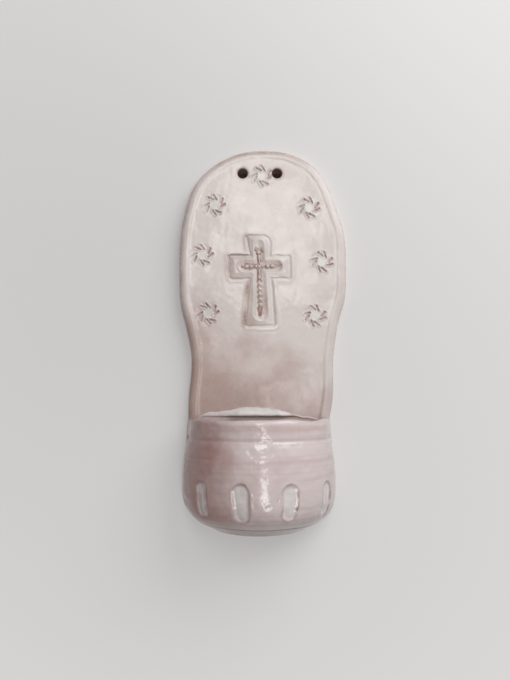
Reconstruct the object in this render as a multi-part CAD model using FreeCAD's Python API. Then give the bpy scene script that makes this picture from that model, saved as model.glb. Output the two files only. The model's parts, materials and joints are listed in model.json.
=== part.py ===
"""Wall-hung holy water stoup in glazed earthenware: a slab back plate with a luted half bowl.

Frame: +Z up, -Y out of the wall, back face at Y = 0. The origin is midway between the two
hanging holes, on the back face. All lengths are in millimetres.
"""
import FreeCAD
import Part
import math
import os

from FreeCAD import Vector

os.makedirs("parts", exist_ok=True)

# ---- back plate: a rolled slab, cut by hand, so its sides lean a little to one side --------
plate_thickness = 7.5
plate_top = 13.8              # top of the arch above the holes
arch_lean = 1.8               # the arch's top stands this far to +X of the holes
brow_rise = 8.0
brow_width = 46.5
brow_lean = 2.1
shoulder_drop = 8.2           # where the arch turns into the sides
shoulder_width = 75.0
shoulder_lean = 0.7
chest_drop = 24.0
chest_width = 84.6
chest_lean = 1.0
crown_drop = 49.0             # the widest level
crown_width = 90.1
crown_lean = 1.7
flank_drop = 79.6
flank_width = 83.4
flank_lean = 1.0
waist_drop = 101.0            # the narrowest level above the bowl
waist_width = 75.2
waist_lean = 1.4
hip_drop = 119.0
hip_width = 75.8
hip_lean = 0.7
front_rounding = 3.0
back_rounding = 1.2
collar_margin = 1.0           # how far the plate stands out on each side of the bowl's collar

# ---- hanging holes --------------------------------------------------------------------
hole_spacing = 18.8
hole_diameter = 5.6
hole_lip = 0.8                # rounding of each hole's front edge

# ---- half bowl: thrown, cut down its axis and luted to the plate ------------------------
rim_drop = 132.4              # rim below the holes
bowl_lean = -0.6              # the bowl's axis from the holes, along X
rim_radius = 35.8
wall = 4.0
collar_height = 9.6           # upright collar, closed below by a turned groove
collar_radius = 36.3
groove_radius = 1.0
groove_depth = 0.4
swell_drop = 18.0             # upper belly below the rim
swell_radius = 38.0
belly_drop = 31.0             # widest level
belly_radius = 38.9
haunch_drop = 43.5            # where the belly turns in to the foot
haunch_radius = 37.2
bevel_height = 4.4            # trimmed bevel round the foot
bevel_radius = 31.5
foot_radius = 23.0
bowl_height = 54.0
floor_thickness = 5.5
floor_radius = 20.0           # flat part of the inside floor
rim_rounding = 1.8

# ---- gouged flutes round the lower belly -----------------------------------------------
flute_count = 4
flute_first = -44.0           # degrees round the bowl from straight ahead
flute_pitch = 33.0
flute_drop = 37.0             # middle of a flute below the rim
flute_length = 18.0
flute_width = 7.0
flute_depth = 1.2
flute_tilt = 9.0              # degrees, follows the belly as it turns in

# ---- clay worked into the joint --------------------------------------------------------
coil_radius = 4.0             # roll pressed into the inside corner of the joint
lip_depth = 3.6               # strip across the plate behind the mouth
lip_drop = 3.0                # its underside below the rim
lip_rise = 4.6                # its middle above the rim
lip_end_rise = 0.4            # its ends above the rim
lip_rounding = 2.2

# ---- impressed cross -------------------------------------------------------------------
cross_x = 0.4
cross_drop = 52.2             # crossing below the holes
cross_depth = 1.7
cross_draft = 1.0             # the walls slope in by this much from face to floor
arm_width = 12.0              # arms' width at the crossing
arm_flare = 1.2               # extra width at each arm's end
cross_span = 35.8
cross_head = 18.4             # crossing to the top
cross_stem = 31.6             # crossing to the foot
cross_corner = 1.6

# ---- string of beads impressed along the cross's floor -----------------------------------
bead_radius = 1.1
bead_pitch = 2.9
bead_depth = 0.6
beads_down = 8
beads_up = 3
beads_aside = 3

# ---- pinwheel stamps -------------------------------------------------------------------
stamp_places = ((1.2, -1.7), (-24.6, -18.2), (26.7, -19.8), (-31.0, -46.0),
                (33.3, -49.8), (-27.5, -77.8), (29.1, -79.1))
stamp_pairs = 4               # the die's blades stand in pairs round its smooth middle
pair_spread = 33.0            # degrees between the two blades of a pair
pair_start = 25.0             # degrees from +X to the middle of the first pair
blade_ring = 3.5              # radius of the ring on which the blades' middles lie
blade_length = 3.0
blade_width = 0.9
blade_turn = 38.0             # degrees between a blade and the radius through it

front = -plate_thickness
rim_z = -rim_drop
base_z = rim_z - bowl_height
floor_drop = bowl_height - floor_thickness
mouth_radius = rim_radius - wall
past = 10.0                   # how far cutting tools run past what they cut
hair = 0.01                   # tolerance for picking edges by their place
along_y = Vector(0, 1, 0)
up = Vector(0, 0, 1)
bowl_axis = Vector(bowl_lean, front, 0)


def spline(points, tangents):
    """Smooth edge through the points. A tangent is a Vector, or None where it is free."""
    flags = [tangent is not None for tangent in tangents]
    vectors = [tangent or Vector(1, 0, 0) for tangent in tangents]
    curve = Part.BSplineCurve()
    curve.interpolate(Points=points, Tangents=vectors, TangentFlags=flags)
    return curve.toShape()


def polyline(points):
    return [Part.makeLine(a, b) for a, b in zip(points, points[1:])]


def rounded_polygon(corners, radius, y):
    """Closed wire in the plane Y = y, with every corner rounded by an arc."""
    edges = []
    starts = []
    ends = []
    for index, (x, z) in enumerate(corners):
        here = Vector(x, y, z)
        before = Vector(corners[index - 1][0], y, corners[index - 1][1])
        after_x, after_z = corners[(index + 1) % len(corners)]
        to_before = (before - here).normalize()
        to_after = (Vector(after_x, y, after_z) - here).normalize()
        half_angle = to_before.getAngle(to_after) / 2
        reach = radius / math.tan(half_angle)
        bisector = (to_before + to_after).normalize()
        middle = here + bisector * (radius / math.sin(half_angle) - radius)
        starts.append(here + to_before * reach)
        ends.append(here + to_after * reach)
        edges.append(Part.Arc(starts[-1], middle, ends[-1]).toShape())
    for index in range(len(corners)):
        edges.append(Part.makeLine(ends[index - 1], starts[index]))
    return Part.Wire(Part.__sortEdges__(edges))


def bowl_point(direction, radius, drop):
    """Point in the plane of the joint, at a radius from the bowl's axis and a drop below its rim."""
    return Vector(bowl_lean + direction * radius, front, rim_z - drop)


def bowl_side(direction, margin=0):
    """Outer edge of the bowl's half section, from rim to foot, or with a margin at its collar."""
    rim = bowl_point(direction, rim_radius + margin, 0)
    collar_foot = bowl_point(direction, collar_radius + margin, collar_height)
    swell = bowl_point(direction, swell_radius, swell_drop)
    belly = bowl_point(direction, belly_radius, belly_drop)
    haunch = bowl_point(direction, haunch_radius, haunch_drop)
    bevel_top = bowl_point(direction, bevel_radius, bowl_height - bevel_height)
    foot = bowl_point(direction, foot_radius, bowl_height)
    return [Part.makeLine(rim, collar_foot),
            spline([collar_foot, swell, belly, haunch, bevel_top],
                   [None, None, Vector(0, 0, -1), None, None]),
            Part.makeLine(bevel_top, foot)]


def inner_side(direction=1):
    """Inner edge of the bowl's half section, from the mouth down to the flat floor."""
    mouth = bowl_point(direction, mouth_radius, 0)
    neck = bowl_point(direction, collar_radius - wall, collar_height)
    swell = bowl_point(direction, swell_radius - wall, swell_drop)
    belly = bowl_point(direction, belly_radius - wall, belly_drop)
    floor_edge = bowl_point(direction, floor_radius, floor_drop)
    down = Vector(0, 0, -1)
    return [Part.makeLine(mouth, neck),
            spline([neck, swell, belly], [(neck - mouth).normalize(), None, down]),
            spline([belly, floor_edge], [down, Vector(-direction, 0, 0)])]


def at_depth(edge, y):
    """True for an edge that lies wholly in the plane Y = y."""
    box = edge.BoundBox
    return abs(box.YMin - y) < hair and abs(box.YMax - y) < hair


def plate_side(direction):
    """One free edge of the plate, from the top of the arch down to the rim of the bowl."""
    levels = ((-brow_rise, brow_width, brow_lean), (shoulder_drop, shoulder_width, shoulder_lean),
              (chest_drop, chest_width, chest_lean), (crown_drop, crown_width, crown_lean),
              (flank_drop, flank_width, flank_lean), (waist_drop, waist_width, waist_lean),
              (hip_drop, hip_width, hip_lean), (rim_drop, 2 * (rim_radius + collar_margin), bowl_lean))
    points = [Vector(lean + direction * width / 2, 0, -drop) for drop, width, lean in levels]
    down = Vector(0, 0, -1)
    return spline([Vector(arch_lean, 0, plate_top)] + points,
                  [Vector(direction, 0, 0), None, None, None, down, None, None, None, None])


def free_plate():
    """The plate above the rim, rounded in front, with a plain tail that ends behind the bowl."""
    sides = [plate_side(1), plate_side(-1)]
    right, left = [side.valueAt(side.LastParameter) for side in sides]
    tail_right, tail_left = [side.valueAt(side.LastParameter)
                             + side.tangentAt(side.LastParameter) * collar_height for side in sides]
    tail = polyline([right, tail_right, tail_left, left])
    outline = Part.Wire(Part.__sortEdges__(sides + tail))
    slab = Part.Face(outline).extrude(Vector(0, front, 0))
    free = [e for e in slab.Edges if at_depth(e, front) and e.BoundBox.ZLength > hair]
    return slab.makeFillet(front_rounding, free)


def plate_skirt():
    """The plate behind the bowl: beside the collar it stands out, and below it is cut flush."""
    top = Part.makeLine(*[bowl_point(side, rim_radius + collar_margin, 0) for side in (1, -1)])
    foot = Part.makeLine(*[bowl_point(side, foot_radius, bowl_height) for side in (1, -1)])
    sides = bowl_side(1, collar_margin) + bowl_side(-1, collar_margin)
    outline = Part.Wire(Part.__sortEdges__(sides + [top, foot]))
    return Part.Face(outline).extrude(Vector(0, plate_thickness, 0))


def hole_cutter(x):
    """Drilling tool for one hanging hole, with a flared mouth at the front."""
    radius = hole_diameter / 2
    shaft = Part.makeCylinder(radius, plate_thickness + 2 * past, Vector(x, past, 0), -along_y)
    flare = Part.makeCone(radius, radius + hole_lip, hole_lip, Vector(x, front + hole_lip, 0), -along_y)
    return shaft.fuse(flare)


def cross_corners(shrink):
    """Corners of the flared Latin cross, anticlockwise, drawn in by shrink on every side."""
    near = arm_width / 2 - shrink
    far = near + arm_flare
    reach = cross_span / 2 - shrink
    head = cross_head - shrink
    stem = cross_stem - shrink
    outline = ((near, near), (far, head), (-far, head), (-near, near), (-reach, far), (-reach, -far),
               (-near, -near), (-far, -stem), (far, -stem), (near, -near), (reach, -far), (reach, far))
    return [(cross_x + x, z - cross_drop) for x, z in outline]


def cross_cutter():
    """Tapered die of the cross: wide at the plate's face, narrower at the recess's floor."""
    slope = cross_draft / cross_depth
    outside = rounded_polygon(cross_corners(-slope), cross_corner, front - 1)
    floor = rounded_polygon(cross_corners(cross_draft), cross_corner, front + cross_depth)
    return Part.makeLoft([outside, floor], True, True)


def bead_cutters():
    """Balls that leave the string of beads in the floor of the cross."""
    y = front + cross_depth - bead_radius + bead_depth
    steps = [(0, -n) for n in range(beads_down + 1)] + [(0, n) for n in range(1, beads_up + 1)]
    steps += [(side * n, 0) for side in (-1, 1) for n in range(1, beads_aside + 1)]
    return [Part.makeSphere(bead_radius, Vector(cross_x + a * bead_pitch, y, b * bead_pitch - cross_drop))
            for a, b in steps]


def stamp_cutters(x, z):
    """Blades of one pinwheel stamp: short strokes round a ring, all turned the same way."""
    strokes = []
    for blade in range(2 * stamp_pairs):
        side = blade % 2 - 0.5
        angle = math.radians(pair_start + blade // 2 * 360 / stamp_pairs + side * pair_spread)
        heading = angle + math.radians(blade_turn)
        middle = Vector(x + blade_ring * math.cos(angle), front, z + blade_ring * math.sin(angle))
        direction = Vector(math.cos(heading), 0, math.sin(heading))
        start = middle - direction * (blade_length / 2)
        strokes.append(Part.makeCylinder(blade_width / 2, blade_length, start, direction))
    return strokes


def back_plate():
    plate = free_plate().fuse(plate_skirt()).removeSplitter()
    plate = plate.makeFillet(back_rounding, [e for e in plate.Edges if at_depth(e, 0)])
    cutters = [hole_cutter(side * hole_spacing / 2) for side in (-1, 1)]
    cutters.append(cross_cutter())
    cutters += bead_cutters()
    for x, z in stamp_places:
        cutters += stamp_cutters(x, z)
    return plate.cut(cutters)


def flute_cutter(azimuth):
    """Gouge with rounded ends, laid along the belly at one azimuth."""
    radius = (flute_width ** 2 / 4 + flute_depth ** 2) / (2 * flute_depth)
    half = flute_length / 2
    straight = half - flute_width / 2
    gouge = Part.makeCylinder(radius, 2 * straight, Vector(0, 0, -straight))
    for end in (-straight, straight):
        gouge = gouge.fuse(Part.makeSphere(radius, Vector(0, 0, end)))
    stand_off = belly_radius + radius - flute_depth - half * math.sin(math.radians(flute_tilt)) / 2
    gouge.rotate(Vector(), Vector(1, 0, 0), flute_tilt)
    gouge.translate(Vector(0, -stand_off, rim_z - flute_drop))
    gouge.rotate(Vector(), up, azimuth)
    gouge.translate(bowl_axis)
    return gouge


def half_turn(section_edges):
    """Solid of revolution in front of the plate, from the edges of its half section."""
    section = Part.Face(Part.Wire(Part.__sortEdges__(section_edges)))
    return section.revolve(bowl_axis, up, -180)


def bowl():
    """Half of a thrown bowl: its section turned through half a turn, then grooved and fluted."""
    bottom = polyline([bowl_point(1, foot_radius, bowl_height), bowl_point(1, 0, bowl_height),
                       bowl_point(1, 0, floor_drop), bowl_point(1, floor_radius, floor_drop)])
    rim = Part.makeLine(bowl_point(1, mouth_radius, 0), bowl_point(1, rim_radius, 0))
    body = half_turn(bowl_side(1) + inner_side() + bottom + [rim])
    rim_edges = [e for e in body.Edges if e.BoundBox.ZMin > rim_z - hair and e.BoundBox.YLength > wall]
    body = body.makeFillet(rim_rounding, rim_edges)
    groove = Part.makeTorus(collar_radius + groove_radius - groove_depth, groove_radius,
                            bowl_axis + Vector(0, 0, rim_z - collar_height), up)
    flutes = [flute_cutter(flute_first + n * flute_pitch) for n in range(flute_count)]
    return body.cut([groove] + flutes)


def cavity():
    """The bowl's hollow as a solid, bounded behind by the plate's face."""
    closing = polyline([bowl_point(1, floor_radius, floor_drop), bowl_point(1, 0, floor_drop),
                        bowl_point(1, 0, 0), bowl_point(1, mouth_radius, 0)])
    return half_turn(inner_side() + closing)


def seam_coil():
    """Roll of clay pressed into the inside corner between bowl and plate, down, under and up."""
    floor = Part.makeLine(bowl_point(1, floor_radius, floor_drop), bowl_point(-1, floor_radius, floor_drop))
    corner = Part.Wire(Part.__sortEdges__(inner_side(1) + [floor] + inner_side(-1)))
    start = inner_side(1)[0]
    section = Part.Wire(Part.makeCircle(coil_radius, start.valueAt(start.FirstParameter),
                                        start.tangentAt(start.FirstParameter)))
    roll = corner.makePipeShell([section], True, False).common(cavity())
    below_lip = Part.makeBox(4 * belly_radius, 4 * belly_radius, bowl_height,
                             Vector(-2 * belly_radius, -3 * belly_radius, rim_z - lip_drop - bowl_height))
    return roll.common(below_lip)


def back_lip():
    """Strip of clay luted across the plate behind the mouth, higher in the middle."""
    ends = [bowl_point(side, rim_radius, -lip_end_rise) for side in (-1, 1)]
    arch = Part.Arc(ends[0], bowl_point(1, 0, -lip_rise), ends[1]).toShape()
    sides = polyline([ends[1], bowl_point(1, rim_radius, lip_drop), bowl_point(-1, rim_radius, lip_drop),
                      ends[0]])
    strip = Part.Face(Part.Wire([arch] + sides)).extrude(Vector(0, -lip_depth, 0))
    nose = [e for e in strip.Edges if at_depth(e, front - lip_depth)]
    strip = strip.makeFillet(lip_rounding, [max(nose, key=lambda e: e.Length)])
    mouth = Part.makeCylinder(mouth_radius, 2 * bowl_height, bowl_axis + Vector(0, 0, base_z), up)
    return strip.common(mouth)


for name, make in (("back_plate", back_plate), ("bowl", bowl), ("seam_coil", seam_coil),
                   ("back_lip", back_lip)):
    piece = make()
    piece.exportStep(f"parts/{name}.step")
    box = piece.optimalBoundingBox(True, False)
    print(f"{name}: solids {len(piece.Solids)}, valid {piece.isValid()}, {piece.Volume / 1000:.2f} cm3,"
          f" {box.XLength:.1f} x {box.YLength:.1f} x {box.ZLength:.1f} mm")
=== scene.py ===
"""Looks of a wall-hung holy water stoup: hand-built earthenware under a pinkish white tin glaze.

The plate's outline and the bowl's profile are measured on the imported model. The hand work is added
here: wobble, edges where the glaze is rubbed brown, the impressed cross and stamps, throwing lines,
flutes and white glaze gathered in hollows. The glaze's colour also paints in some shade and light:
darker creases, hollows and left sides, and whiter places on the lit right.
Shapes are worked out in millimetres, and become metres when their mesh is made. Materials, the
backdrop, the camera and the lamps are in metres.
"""
import json
import math

import bpy
import numpy as np
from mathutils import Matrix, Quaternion, Vector
from mathutils.bvhtree import BVHTree
from mathutils.geometry import delaunay_2d_cdt


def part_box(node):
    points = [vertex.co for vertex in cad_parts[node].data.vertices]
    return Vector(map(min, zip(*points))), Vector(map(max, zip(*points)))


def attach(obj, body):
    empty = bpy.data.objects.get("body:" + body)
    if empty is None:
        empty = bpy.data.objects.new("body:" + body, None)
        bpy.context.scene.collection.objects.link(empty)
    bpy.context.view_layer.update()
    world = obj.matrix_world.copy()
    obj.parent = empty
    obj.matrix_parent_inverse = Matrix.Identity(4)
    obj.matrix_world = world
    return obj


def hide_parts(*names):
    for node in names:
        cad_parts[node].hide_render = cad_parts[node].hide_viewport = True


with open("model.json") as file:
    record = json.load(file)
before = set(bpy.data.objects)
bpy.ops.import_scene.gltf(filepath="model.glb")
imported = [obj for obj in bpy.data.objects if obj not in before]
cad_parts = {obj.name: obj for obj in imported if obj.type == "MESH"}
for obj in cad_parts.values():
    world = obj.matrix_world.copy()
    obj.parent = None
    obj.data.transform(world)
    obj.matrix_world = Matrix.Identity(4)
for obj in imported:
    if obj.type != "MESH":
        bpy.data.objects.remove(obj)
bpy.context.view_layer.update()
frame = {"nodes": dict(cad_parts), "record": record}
MM = 0.001
FAR = 1e9                          # further than anything measured here

# ---- plate --------------------------------------------------------------------------------
plate_low, plate_high = [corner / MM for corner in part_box("back_plate")]
thickness = plate_high.y - plate_low.y
front = plate_low.y
plate_middle = (1.0, -85.0)        # a point that sees the whole outline
edge_step = 0.5                    # spacing of points along the outline
outline_softness = 1.1             # length over which the measured outline is smoothed
front_round = 3.2                  # rounding of the free front edge
collar_round = 0.15                # the same beside the bowl's collar
joint_round = 0.12                 # the same where the bowl is luted on
back_round = 1.2
ridge_inset = 4.0                  # crest of the edge's soft roll, in from the outline
ridge_height = 0.34
ridge_width = 1.3
rim_reach = 7.6                    # how far in from the outline the edge's rings go
joint_reach = 2.6                  # the same beside the bowl's foot
face_step = 0.34                   # spacing of points on the plate's face
back_step = 3.0                    # the same on its flat back
# rings of points over the border of the face, the front edge, the cut side and the back edge
face_rings, round_rings, side_rings, back_rings = 15, 11, 9, 6
wobble = 0.16                      # hand-cut waviness of the outline
side_dent = 0.16                   # how far the cut side is dished
# unevenness of the slab: length, seed, count and height of waves, and how much the lower part is calmer
swells = ((34, 5, 14, 0.10, 0), (11, 6, 30, 0.034, 0.5), (4.5, 8, 60, 0.010, 0.75))

# ---- hanging holes --------------------------------------------------------------------------
hole_spacing = frame["record"]["mounts"][0]["dims"]["spacing_x_mm"]
hole_radius = frame["record"]["mounts"][0]["dims"]["hole_r_mm"]
hole_round = 0.9
hole_points = 72                   # points round a hole
holes = [(side * hole_spacing / 2, 0.0) for side in (-1, 1)]

# ---- bowl -----------------------------------------------------------------------------------
bowl_low, bowl_high = [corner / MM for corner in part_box("bowl")]
rim_z = bowl_high.z
base_z = bowl_low.z
bowl_x = (bowl_low.x + bowl_high.x) / 2
profile_azimuth = -27.5            # between two flutes, where the CAD section is measured
profile_step = 0.42
azimuth_count = 400
azimuth_end = 90.4                 # the wall's ends reach a little into the plate
wall_slack = 0.12                  # mean depth of the hand work, so that its ridges stay inside the CAD
groove_drop = 9.6
foot_z = base_z + 4.9              # line cut where the foot begins
# length, seed, count and height of the waves that make its throwing lines and its dents
throwing_lines = ((2.6, 41, 14, 0.022), (6.5, 42, 14, 0.035))
dents = ((26, 43, 14, 0.10), (6.0, 51, 40, 0.044), (2.4, 54, 40, 0.004))
flute_depth = 0.72
# azimuth, height, length, width, whiteness and lean of each flute
flutes = ((-43.8, -168.9, 17.4, 8.0, 0.86, 0.05), (-12.4, -169.4, 18.0, 8.4, 0.88, 0.03),
          (20.8, -169.3, 16.8, 7.9, 0.92, -0.03), (55.0, -169.6, 16.6, 7.4, 0.86, -0.03))

# ---- strip of clay behind the mouth: each first and last value is for the CAD strip's ends --------
lip_crest_x = (-31, -26, -18, -14, -11, -5.2, -1.6, 5.6, 10.8, 14.4, 17, 22)
lip_crest_rise = (-0.4, 1.5, 3.0, 3.6, 4.4, 5.3, 5.7, 5.6, 5.0, 4.1, 2.9, 1.9, 1.0, -0.4)   # above the rim
lip_nose_x = (-29, -22, -11, 10, 15, 20)
lip_nose_share = (0.02, 0.3, 0.5, 0.95, 0.95, 0.4, 0.12, 0.02)     # share of the CAD strip's depth

# ---- impressed cross: the crease round its floor, from the left upper inner corner ------------
cross_outline = ((-4.8, -46.0), (-16.6, -45.9), (-16.0, -58.8), (-5.3, -58.6), (-7.6, -84.2),
                 (8.0, -84.0), (6.1, -58.6), (16.2, -58.9), (16.1, -46.4), (5.6, -46.5),
                 (5.7, -39.5), (4.7, -36.8), (1.8, -35.2), (-7.1, -35.0))
cross_middle = (-0.3, -52.3)
cross_corner = 1.2                 # rounding of the crease's corners
cross_depth = (0.95, 0.14)         # of the recess, left and right: the die sank deeper on the left
cross_wall = (1.6, 1.3, 0.75)      # width of the wall outside the crease, left, right and above
# the channel that holds the beads, inside the die's pillowed border: ends of its runs, half widths there
channel_runs = (((-0.6, -40.3), (0.5, -77.8), 2.9, 4.2), ((-8.3, -52.0), (8.8, -52.2), 3.4, 3.6))
channel_join = 1.6                 # how softly the two runs meet
channel_depth = 0.38

# ---- what the channel holds, placed from the cross's middle --------------------------------------
bead_count, bead_top, bead_pitch, bead_lean = 6, -6.6, 2.87, 0.12
star_reach = (4.0, 5.2)
# start, end and half width
strips = (((0, 3.2), (-0.3, 6.6), 0.45), ((0, -3.2), (0, -6.2), 0.5))
# place and radius
buds = ((-9.0, 0.1, 0.6), (-6.9, 0, 1.15), (-4.4, 0, 1.0), (4.2, 0, 1.15), (6.7, 0.1, 1.05),
        (-0.5, 7.6, 1.15), (-1.7, 9.4, 0.6), (1.2, 9.0, 0.6))
# start, end, half width and darkness (painted shade) of the cuts, the two darker ones beside the drop
cuts = (((8.0, 0.8), (12.0, 1.1), 0.5, 1.0), ((-7.2, 1.5), (-2.4, 1.1), 0.42, 1.0),
        ((-9.1, 0), (-9.0, 0.1), 0.62, 1.0), ((8.2, -0.7), (11.6, 0.5), 0.3, 1.0),
        ((-6.0, -1.5), (-2.6, -1.1), 0.3, 1.0), ((-0.75, -22.3), (0.15, -26.4), 0.36, 1.5),
        ((1.45, -22.3), (0.75, -26.4), 0.36, 1.5), ((-1.9, 10.4), (-0.6, 9.6), 0.3, 1.0),
        ((0.9, 10.2), (1.9, 7.8), 0.32, 1.0))

# ---- pinwheel stamps: place, turn, depth of the strokes, side where the die sank deeper --------
stamps = ((1.2, -1.7, 0, 0.45, 180), (-24.6, -18.2, 4, 0.70, 150), (26.7, -19.8, -6, 0.75, 190),
          (-31.0, -46.0, 6, 0.70, 170), (33.3, -49.8, -14, 0.75, 150), (-27.5, -77.8, 10, 0.70, 200),
          (29.1, -79.1, -12, 0.75, 170))
stamp_radius = 5.0
blade_angles = (353, 25, 83, 115, 173, 205, 263, 295)
blade_inner = 3.1
blade_outer = 5.5
blade_half_width = 0.26
blade_turn = 38

# ---- colours ------------------------------------------------------------------------------------
white_glaze_and_light = (0.77, 0.76, 0.74)
speck_glaze = (0.42, 0.30, 0.25)
band_glaze = (0.47, 0.31, 0.28)
brown_glaze_and_shade = ((0.25, 0.145, 0.115), (0.38, 0.245, 0.20))
terracotta = ((0.46, 0.22, 0.13), (0.58, 0.31, 0.20))

# ---- surroundings, in metres: what the camera and reflections see is paler than what lights the object
wall_lit, wall_seen, wall_glow = (0.36, 0.33, 0.315), (0.76, 0.75, 0.74), (0.80, 0.795, 0.79)
glow_start, glow_end, glow_share = 0.06, 0.32, 0.65
# painted shadow on the backdrop behind the hanging holes, and how far from the middle it reaches
painted_hole_shadow, painted_hole_shadow_reach = (0.06, 0.045, 0.04), 0.0124
world_colour, world_lit, world_seen = (0.96, 0.93, 0.93), 0.19, 0.66


# ---- numbers ----------------------------------------------------------------------------------
def smoothstep(low, high, value):
    t = np.clip((value - low) / (high - low), 0, 1)
    return t * t * (3 - 2 * t)


def bell(value, middle, width):
    return np.exp(-((value - middle) / width) ** 2)


def waves(points, length, seed, count=14):
    """Smooth unit noise: a sum of plane waves about that length, the same on every run."""
    random = np.random.default_rng(seed)
    points = np.asarray(points, float)
    directions = random.normal(size=(count, points.shape[1]))
    directions /= np.linalg.norm(directions, axis=1)[:, None]
    numbers = 2 * math.pi / (length * random.uniform(0.7, 1.5, count))
    phases = random.uniform(0, 2 * math.pi, count)
    total = np.zeros(len(points))
    for direction, number, phase in zip(directions, numbers, phases):
        total += np.cos(points @ direction * number + phase)
    return total * math.sqrt(2 / count)


def segment_distance(points, start, end):
    """Distance of each point from a segment, all in a plane."""
    start, end = np.array(start), np.array(end)
    along = end - start
    t = np.clip((points - start) @ along / (along @ along), 0, 1)
    return np.linalg.norm(points - start - t[:, None] * along, axis=1)


def polygon_distance(points, corners):
    """Signed distance from a polygon, negative inside."""
    corners = np.array(corners)
    distance = np.full(len(points), FAR)
    inside = np.zeros(len(points), bool)
    for a, b in zip(corners, np.roll(corners, -1, axis=0)):
        distance = np.minimum(distance, segment_distance(points, a, b))
        spans = (a[1] > points[:, 1]) != (b[1] > points[:, 1])
        height = np.where(b[1] == a[1], 1.0, b[1] - a[1])
        crossing = a[0] + (points[:, 1] - a[1]) * (b[0] - a[0]) / height
        inside ^= spans & (points[:, 0] < crossing)
    return np.where(inside, -distance, distance)


def rounded_distance(points, corners, radius):
    """Signed distance from a polygon whose outer corners are rounded."""
    corners = np.array(corners)
    before, after = np.roll(corners, 1, axis=0) - corners, np.roll(corners, -1, axis=0) - corners
    before /= np.linalg.norm(before, axis=1)[:, None]
    after /= np.linalg.norm(after, axis=1)[:, None]
    turn = before[:, 0] * after[:, 1] - before[:, 1] * after[:, 0]
    inward = (before + after) / np.abs(turn)[:, None] * np.sign(turn * np.sign(turn.sum()))[:, None]
    return polygon_distance(points, corners + inward * radius) - radius


def circle(x, z, radius, count):
    angles = np.linspace(0, 2 * math.pi, count, endpoint=False)
    return np.stack([x + radius * np.cos(angles), z + radius * np.sin(angles)], axis=1)


def evenly(points, spacing):
    """The same line with evenly spaced points."""
    run = np.concatenate([[0], np.cumsum(np.linalg.norm(np.diff(points, axis=0), axis=1))])
    at = np.linspace(0, run[-1], int(run[-1] / spacing) + 1)
    return np.stack([np.interp(at, run, points[:, k]) for k in range(points.shape[1])], axis=1)


def smoothed(points, reach, closed):
    """Gaussian smoothing along a line, over that many points."""
    half = int(3 * reach) + 1
    weights = np.exp(-0.5 * (np.arange(-half, half + 1) / reach) ** 2)
    weights /= weights.sum()
    if closed:
        padded = np.concatenate([points[-half:], points, points[:half]])
    else:
        before = 2 * points[0] - points[half:0:-1]
        after = 2 * points[-1] - points[-2:-half - 2:-1]
        padded = np.concatenate([before, points, after])
    columns = range(points.shape[1])
    return np.stack([np.convolve(padded[:, k], weights, "valid") for k in columns], axis=1)


def quarter_turned(tangent):
    """Unit vectors a quarter turn to the left of these."""
    tangent = tangent / np.linalg.norm(tangent, axis=1)[:, None]
    return np.stack([-tangent[:, 1], tangent[:, 0]], axis=1)


def inward_normals(loop):
    return quarter_turned(smoothed(np.roll(loop, -1, axis=0) - np.roll(loop, 1, axis=0), 1.5, True))


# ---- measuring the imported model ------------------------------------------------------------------
def tree_of(node):
    mesh = frame["nodes"][node].data
    corners = [v.co / MM for v in mesh.vertices]
    return BVHTree.FromPolygons(corners, [p.vertices[:] for p in mesh.polygons])


def sweep(tree, centre, across, rise, angles, from_outside):
    """Where rays in the plane of across and rise meet a surface, as (across, rise) pairs."""
    outside = 400.0
    found = []
    for angle in angles:
        heading = across * math.cos(angle) + rise * math.sin(angle)
        start = centre + heading * outside if from_outside else centre
        hit = tree.ray_cast(start, -heading if from_outside else heading)[0]
        found.append(((hit - centre).dot(across), (hit - centre).dot(rise)))
    return np.array(found)


# ---- meshes ----------------------------------------------------------------------------------------
def make_piece(name, points, faces, glaze, node, slot, material):
    """Mesh object from points in millimetres, standing for a CAD node."""
    mesh = bpy.data.meshes.new(name)
    mesh.from_pydata((np.asarray(points) * MM).tolist(), [], faces)
    mesh.attributes.new("glaze", "FLOAT_COLOR", "POINT")
    colours = np.concatenate([glaze, np.ones((len(glaze), 1))], axis=1).astype(np.float32)
    mesh.attributes["glaze"].data.foreach_set("color", colours.ravel())
    mesh.polygons.foreach_set("use_smooth", [True] * len(mesh.polygons))
    mesh.validate()
    mesh.update()
    piece = bpy.data.objects.new(name, mesh)
    bpy.context.scene.collection.objects.link(piece)
    piece.data.materials.append(material)
    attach(piece, "root")
    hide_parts(node)


def weld(patches):
    """Joins (points, faces, glaze) patches and merges the points that they share."""
    points, faces, glaze, offset = [], [], [], 0
    for patch_points, patch_faces, patch_glaze in patches:
        points.append(patch_points)
        glaze.append(patch_glaze)
        faces += [[index + offset for index in face] for face in patch_faces]
        offset += len(patch_points)
    points, glaze = np.concatenate(points), np.concatenate(glaze)
    keys = np.round(points, 4)
    _, first, merged = np.unique(keys, axis=0, return_index=True, return_inverse=True)
    merged = merged.ravel()
    welded = []
    for face in faces:
        corners = []
        for index in face:
            if merged[index] not in corners:
                corners.append(int(merged[index]))
        if len(corners) > 2:
            welded.append(corners)
    return points[first], welded, glaze[first]


def grid_faces(rows, columns, closed):
    """Quads between rows of points; closed joins the last column to the first."""
    faces = []
    for row in range(rows - 1):
        for column in range(columns if closed else columns - 1):
            beside = (column + 1) % columns
            faces.append((row * columns + column, row * columns + beside,
                          (row + 1) * columns + beside, (row + 1) * columns + column))
    return faces


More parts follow.
